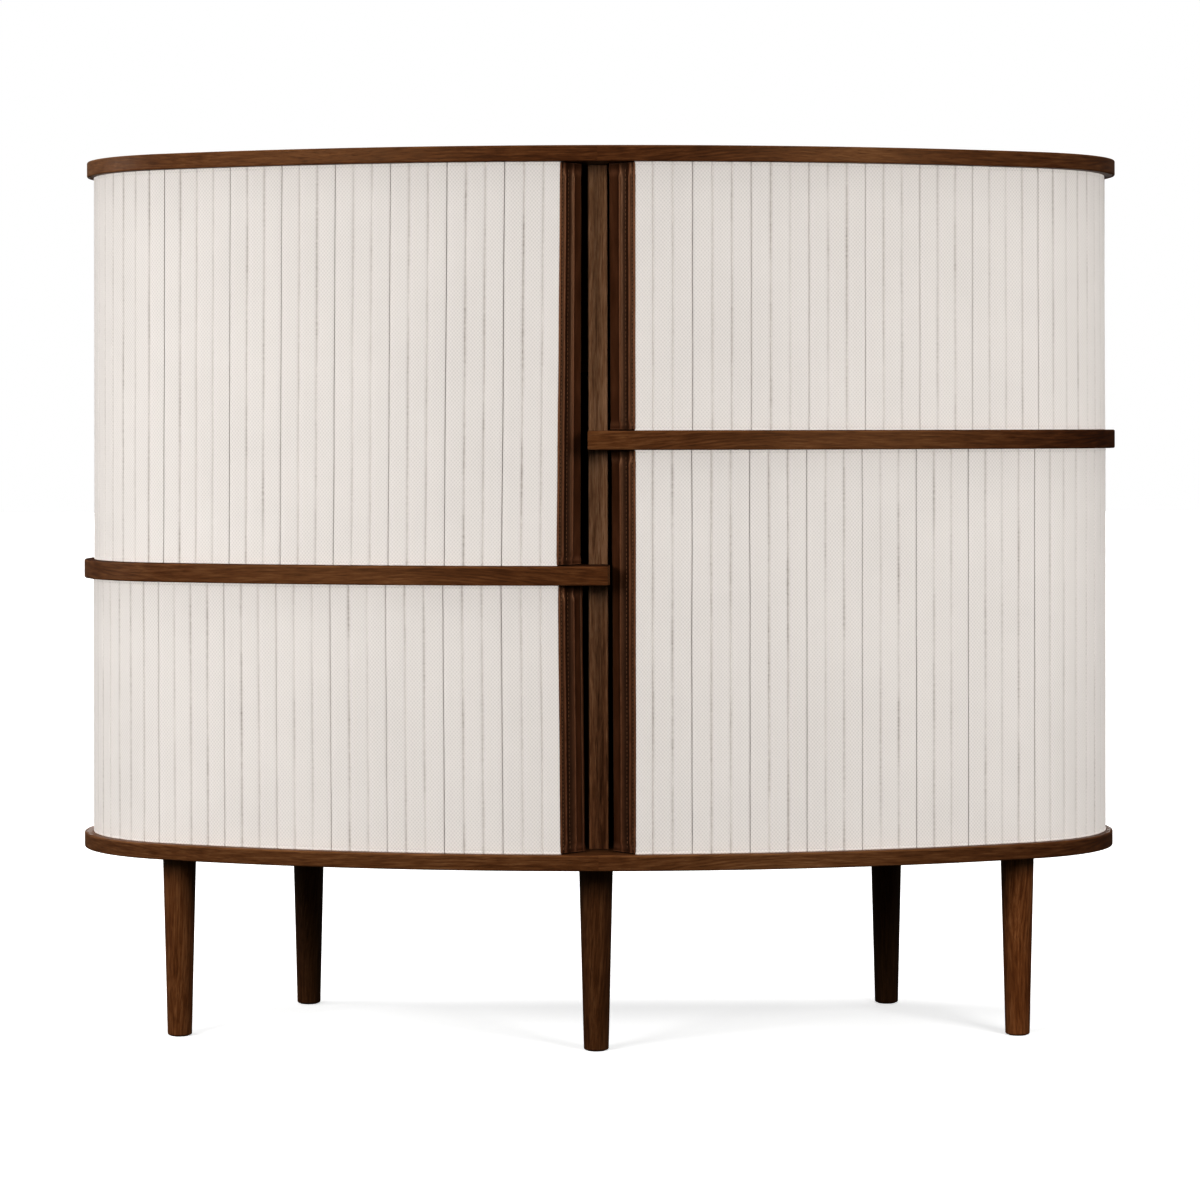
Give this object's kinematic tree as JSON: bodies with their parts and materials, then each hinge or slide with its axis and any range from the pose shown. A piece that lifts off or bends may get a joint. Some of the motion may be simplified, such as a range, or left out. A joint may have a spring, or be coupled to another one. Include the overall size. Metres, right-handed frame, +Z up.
{
  "type": "tambour door highboard",
  "caption": "Oval storage cabinet on tapered legs with staggered bays behind curved fabric tambour curtains and leather pulls.",
  "frame": {"origin": "on the floor under the centre of the cabinet's outline", "axes": "+X to the cabinet's right as seen from the front, +Y towards its back, +Z up; the curtains face -Y"},
  "size_m": [1.2996, 0.534, 1.087],
  "materials": {
    "dark_oak": "dark stained oak, satin oil",
    "inner_oak": "dark stained oak veneer, matt",
    "off_white_fabric": "plain woven off-white upholstery cloth over slats",
    "brown_leather": "glossy dark brown leather with stitching",
    "zinc_steel": "zinc plated"
  },
  "bodies": {
    "cabinet": {"top_board": "dark_oak", "base_board": "dark_oak", "left_shelf_board": "dark_oak", "right_shelf_board": "dark_oak", "centre_divider": "dark_oak", "back_shell": "dark_oak", "upper_left_liner": "inner_oak", "lower_left_liner": "inner_oak", "upper_right_liner": "inner_oak", "lower_right_liner": "inner_oak", "upper_left_loose_shelf": "inner_oak", "lower_right_loose_shelf": "inner_oak", "front_leg": "dark_oak", "front_leg_bolt": "zinc_steel", "left_side_leg": "dark_oak", "left_side_leg_bolt": "zinc_steel", "right_side_leg": "dark_oak", "right_side_leg_bolt": "zinc_steel", "left_rear_leg": "dark_oak", "left_rear_leg_bolt": "zinc_steel", "right_rear_leg": "dark_oak", "right_rear_leg_bolt": "zinc_steel"},
    "upper_left_lead": {"upper_left_pull": "brown_leather", "upper_left_slats_1": "off_white_fabric"},
    "upper_left_group_2": {"upper_left_slats_2": "off_white_fabric"},
    "upper_left_group_3": {"upper_left_slats_3": "off_white_fabric"},
    "upper_left_group_4": {"upper_left_slats_4": "off_white_fabric"},
    "upper_left_group_5": {"upper_left_slats_5": "off_white_fabric"},
    "upper_left_group_6": {"upper_left_slats_6": "off_white_fabric"},
    "upper_left_group_7": {"upper_left_slats_7": "off_white_fabric"},
    "upper_left_group_8": {"upper_left_slats_8": "off_white_fabric"},
    "lower_left_lead": {"lower_left_pull": "brown_leather", "lower_left_slats_1": "off_white_fabric"},
    "lower_left_group_2": {"lower_left_slats_2": "off_white_fabric"},
    "lower_left_group_3": {"lower_left_slats_3": "off_white_fabric"},
    "lower_left_group_4": {"lower_left_slats_4": "off_white_fabric"},
    "lower_left_group_5": {"lower_left_slats_5": "off_white_fabric"},
    "lower_left_group_6": {"lower_left_slats_6": "off_white_fabric"},
    "lower_left_group_7": {"lower_left_slats_7": "off_white_fabric"},
    "lower_left_group_8": {"lower_left_slats_8": "off_white_fabric"},
    "upper_right_lead": {"upper_right_pull": "brown_leather", "upper_right_slats_1": "off_white_fabric"},
    "upper_right_group_2": {"upper_right_slats_2": "off_white_fabric"},
    "upper_right_group_3": {"upper_right_slats_3": "off_white_fabric"},
    "upper_right_group_4": {"upper_right_slats_4": "off_white_fabric"},
    "upper_right_group_5": {"upper_right_slats_5": "off_white_fabric"},
    "upper_right_group_6": {"upper_right_slats_6": "off_white_fabric"},
    "upper_right_group_7": {"upper_right_slats_7": "off_white_fabric"},
    "upper_right_group_8": {"upper_right_slats_8": "off_white_fabric"},
    "lower_right_lead": {"lower_right_pull": "brown_leather", "lower_right_slats_1": "off_white_fabric"},
    "lower_right_group_2": {"lower_right_slats_2": "off_white_fabric"},
    "lower_right_group_3": {"lower_right_slats_3": "off_white_fabric"},
    "lower_right_group_4": {"lower_right_slats_4": "off_white_fabric"},
    "lower_right_group_5": {"lower_right_slats_5": "off_white_fabric"},
    "lower_right_group_6": {"lower_right_slats_6": "off_white_fabric"},
    "lower_right_group_7": {"lower_right_slats_7": "off_white_fabric"},
    "lower_right_group_8": {"lower_right_slats_8": "off_white_fabric"}
  },
  "joints": [
    {"name": "upper_left_door", "type": "hinge", "parent": "cabinet", "child": "upper_left_lead", "pos_m": [0, 0.87202, 0.8275], "axis": [0, 0, -1], "range_deg": [0, 21.88]},
    {"name": "upper_left_link_2", "type": "hinge", "parent": "cabinet", "child": "upper_left_group_2", "pos_m": [-0.07067, 0.63787, 0.8275], "axis": [0, 0, -1], "range_deg": [0, 27.85]},
    {"name": "upper_left_link_3", "type": "hinge", "parent": "cabinet", "child": "upper_left_group_3", "pos_m": [-0.19197, 0.32596, 0.8275], "axis": [0, 0, -1], "range_deg": [0, 44.16]},
    {"name": "upper_left_link_4", "type": "hinge", "parent": "cabinet", "child": "upper_left_group_4", "pos_m": [-0.26698, 0.18682, 0.8275], "axis": [0, 0, -1], "range_deg": [0, 60.61]},
    {"name": "upper_left_link_5", "type": "hinge", "parent": "cabinet", "child": "upper_left_group_5", "pos_m": [-0.32365, 0.11426, 0.8275], "axis": [0, 0, -1], "range_deg": [0, 77.05]},
    {"name": "upper_left_link_6", "type": "hinge", "parent": "cabinet", "child": "upper_left_group_6", "pos_m": [-0.37046, 0.07554, 0.8275], "axis": [0, 0, -1], "range_deg": [0, 93.5]},
    {"name": "upper_left_link_7", "type": "hinge", "parent": "cabinet", "child": "upper_left_group_7", "pos_m": [-0.4165, 0.05487, 0.8275], "axis": [0, 0, -1], "range_deg": [0, 112.67]},
    {"name": "upper_left_link_8", "type": "hinge", "parent": "cabinet", "child": "upper_left_group_8", "pos_m": [-0.438, 0.055, 0.8275], "axis": [0, 0, -1], "range_deg": [0, 122.78]},
    {"name": "lower_left_door", "type": "hinge", "parent": "cabinet", "child": "lower_left_lead", "pos_m": [0, 0.87202, 0.404], "axis": [0, 0, -1], "range_deg": [0, 21.88]},
    {"name": "lower_left_link_2", "type": "hinge", "parent": "cabinet", "child": "lower_left_group_2", "pos_m": [-0.07067, 0.63787, 0.404], "axis": [0, 0, -1], "range_deg": [0, 27.85]},
    {"name": "lower_left_link_3", "type": "hinge", "parent": "cabinet", "child": "lower_left_group_3", "pos_m": [-0.19197, 0.32596, 0.404], "axis": [0, 0, -1], "range_deg": [0, 44.16]},
    {"name": "lower_left_link_4", "type": "hinge", "parent": "cabinet", "child": "lower_left_group_4", "pos_m": [-0.26698, 0.18682, 0.404], "axis": [0, 0, -1], "range_deg": [0, 60.61]},
    {"name": "lower_left_link_5", "type": "hinge", "parent": "cabinet", "child": "lower_left_group_5", "pos_m": [-0.32365, 0.11426, 0.404], "axis": [0, 0, -1], "range_deg": [0, 77.05]},
    {"name": "lower_left_link_6", "type": "hinge", "parent": "cabinet", "child": "lower_left_group_6", "pos_m": [-0.37046, 0.07554, 0.404], "axis": [0, 0, -1], "range_deg": [0, 93.5]},
    {"name": "lower_left_link_7", "type": "hinge", "parent": "cabinet", "child": "lower_left_group_7", "pos_m": [-0.4165, 0.05487, 0.404], "axis": [0, 0, -1], "range_deg": [0, 112.67]},
    {"name": "lower_left_link_8", "type": "hinge", "parent": "cabinet", "child": "lower_left_group_8", "pos_m": [-0.438, 0.055, 0.404], "axis": [0, 0, -1], "range_deg": [0, 122.78]},
    {"name": "upper_right_door", "type": "hinge", "parent": "cabinet", "child": "upper_right_lead", "pos_m": [0, 0.87202, 0.908], "axis": [0, 0, 1], "range_deg": [0, 21.88]},
    {"name": "upper_right_link_2", "type": "hinge", "parent": "cabinet", "child": "upper_right_group_2", "pos_m": [0.07067, 0.63787, 0.908], "axis": [0, 0, 1], "range_deg": [0, 27.85]},
    {"name": "upper_right_link_3", "type": "hinge", "parent": "cabinet", "child": "upper_right_group_3", "pos_m": [0.19197, 0.32596, 0.908], "axis": [0, 0, 1], "range_deg": [0, 44.16]},
    {"name": "upper_right_link_4", "type": "hinge", "parent": "cabinet", "child": "upper_right_group_4", "pos_m": [0.26698, 0.18682, 0.908], "axis": [0, 0, 1], "range_deg": [0, 60.61]},
    {"name": "upper_right_link_5", "type": "hinge", "parent": "cabinet", "child": "upper_right_group_5", "pos_m": [0.32365, 0.11426, 0.908], "axis": [0, 0, 1], "range_deg": [0, 77.05]},
    {"name": "upper_right_link_6", "type": "hinge", "parent": "cabinet", "child": "upper_right_group_6", "pos_m": [0.37046, 0.07554, 0.908], "axis": [0, 0, 1], "range_deg": [0, 93.5]},
    {"name": "upper_right_link_7", "type": "hinge", "parent": "cabinet", "child": "upper_right_group_7", "pos_m": [0.4165, 0.05487, 0.908], "axis": [0, 0, 1], "range_deg": [0, 112.67]},
    {"name": "upper_right_link_8", "type": "hinge", "parent": "cabinet", "child": "upper_right_group_8", "pos_m": [0.438, 0.055, 0.908], "axis": [0, 0, 1], "range_deg": [0, 122.78]},
    {"name": "lower_right_door", "type": "hinge", "parent": "cabinet", "child": "lower_right_lead", "pos_m": [0, 0.87202, 0.4845], "axis": [0, 0, 1], "range_deg": [0, 21.88]},
    {"name": "lower_right_link_2", "type": "hinge", "parent": "cabinet", "child": "lower_right_group_2", "pos_m": [0.07067, 0.63787, 0.4845], "axis": [0, 0, 1], "range_deg": [0, 27.85]},
    {"name": "lower_right_link_3", "type": "hinge", "parent": "cabinet", "child": "lower_right_group_3", "pos_m": [0.19197, 0.32596, 0.4845], "axis": [0, 0, 1], "range_deg": [0, 44.16]},
    {"name": "lower_right_link_4", "type": "hinge", "parent": "cabinet", "child": "lower_right_group_4", "pos_m": [0.26698, 0.18682, 0.4845], "axis": [0, 0, 1], "range_deg": [0, 60.61]},
    {"name": "lower_right_link_5", "type": "hinge", "parent": "cabinet", "child": "lower_right_group_5", "pos_m": [0.32365, 0.11426, 0.4845], "axis": [0, 0, 1], "range_deg": [0, 77.05]},
    {"name": "lower_right_link_6", "type": "hinge", "parent": "cabinet", "child": "lower_right_group_6", "pos_m": [0.37046, 0.07554, 0.4845], "axis": [0, 0, 1], "range_deg": [0, 93.5]},
    {"name": "lower_right_link_7", "type": "hinge", "parent": "cabinet", "child": "lower_right_group_7", "pos_m": [0.4165, 0.05487, 0.4845], "axis": [0, 0, 1], "range_deg": [0, 112.67]},
    {"name": "lower_right_link_8", "type": "hinge", "parent": "cabinet", "child": "lower_right_group_8", "pos_m": [0.438, 0.055, 0.4845], "axis": [0, 0, 1], "range_deg": [0, 122.78]}
  ],
  "couplings": [
    {"joint": "upper_left_link_2", "follows": "upper_left_door", "ratio": 1.2731},
    {"joint": "upper_left_link_3", "follows": "upper_left_door", "ratio": 2.0185},
    {"joint": "upper_left_link_4", "follows": "upper_left_door", "ratio": 2.7702},
    {"joint": "upper_left_link_5", "follows": "upper_left_door", "ratio": 3.5218},
    {"joint": "upper_left_link_6", "follows": "upper_left_door", "ratio": 4.2735},
    {"joint": "upper_left_link_7", "follows": "upper_left_door", "ratio": 5.1501},
    {"joint": "upper_left_link_8", "follows": "upper_left_door", "ratio": 5.612},
    {"joint": "lower_left_link_2", "follows": "lower_left_door", "ratio": 1.2731},
    {"joint": "lower_left_link_3", "follows": "lower_left_door", "ratio": 2.0185},
    {"joint": "lower_left_link_4", "follows": "lower_left_door", "ratio": 2.7702},
    {"joint": "lower_left_link_5", "follows": "lower_left_door", "ratio": 3.5218},
    {"joint": "lower_left_link_6", "follows": "lower_left_door", "ratio": 4.2735},
    {"joint": "lower_left_link_7", "follows": "lower_left_door", "ratio": 5.1501},
    {"joint": "lower_left_link_8", "follows": "lower_left_door", "ratio": 5.612},
    {"joint": "upper_right_link_2", "follows": "upper_right_door", "ratio": 1.2731},
    {"joint": "upper_right_link_3", "follows": "upper_right_door", "ratio": 2.0185},
    {"joint": "upper_right_link_4", "follows": "upper_right_door", "ratio": 2.7702},
    {"joint": "upper_right_link_5", "follows": "upper_right_door", "ratio": 3.5218},
    {"joint": "upper_right_link_6", "follows": "upper_right_door", "ratio": 4.2735},
    {"joint": "upper_right_link_7", "follows": "upper_right_door", "ratio": 5.1501},
    {"joint": "upper_right_link_8", "follows": "upper_right_door", "ratio": 5.612},
    {"joint": "lower_right_link_2", "follows": "lower_right_door", "ratio": 1.2731},
    {"joint": "lower_right_link_3", "follows": "lower_right_door", "ratio": 2.0185},
    {"joint": "lower_right_link_4", "follows": "lower_right_door", "ratio": 2.7702},
    {"joint": "lower_right_link_5", "follows": "lower_right_door", "ratio": 3.5218},
    {"joint": "lower_right_link_6", "follows": "lower_right_door", "ratio": 4.2735},
    {"joint": "lower_right_link_7", "follows": "lower_right_door", "ratio": 5.1501},
    {"joint": "lower_right_link_8", "follows": "lower_right_door", "ratio": 5.612}
  ]
}
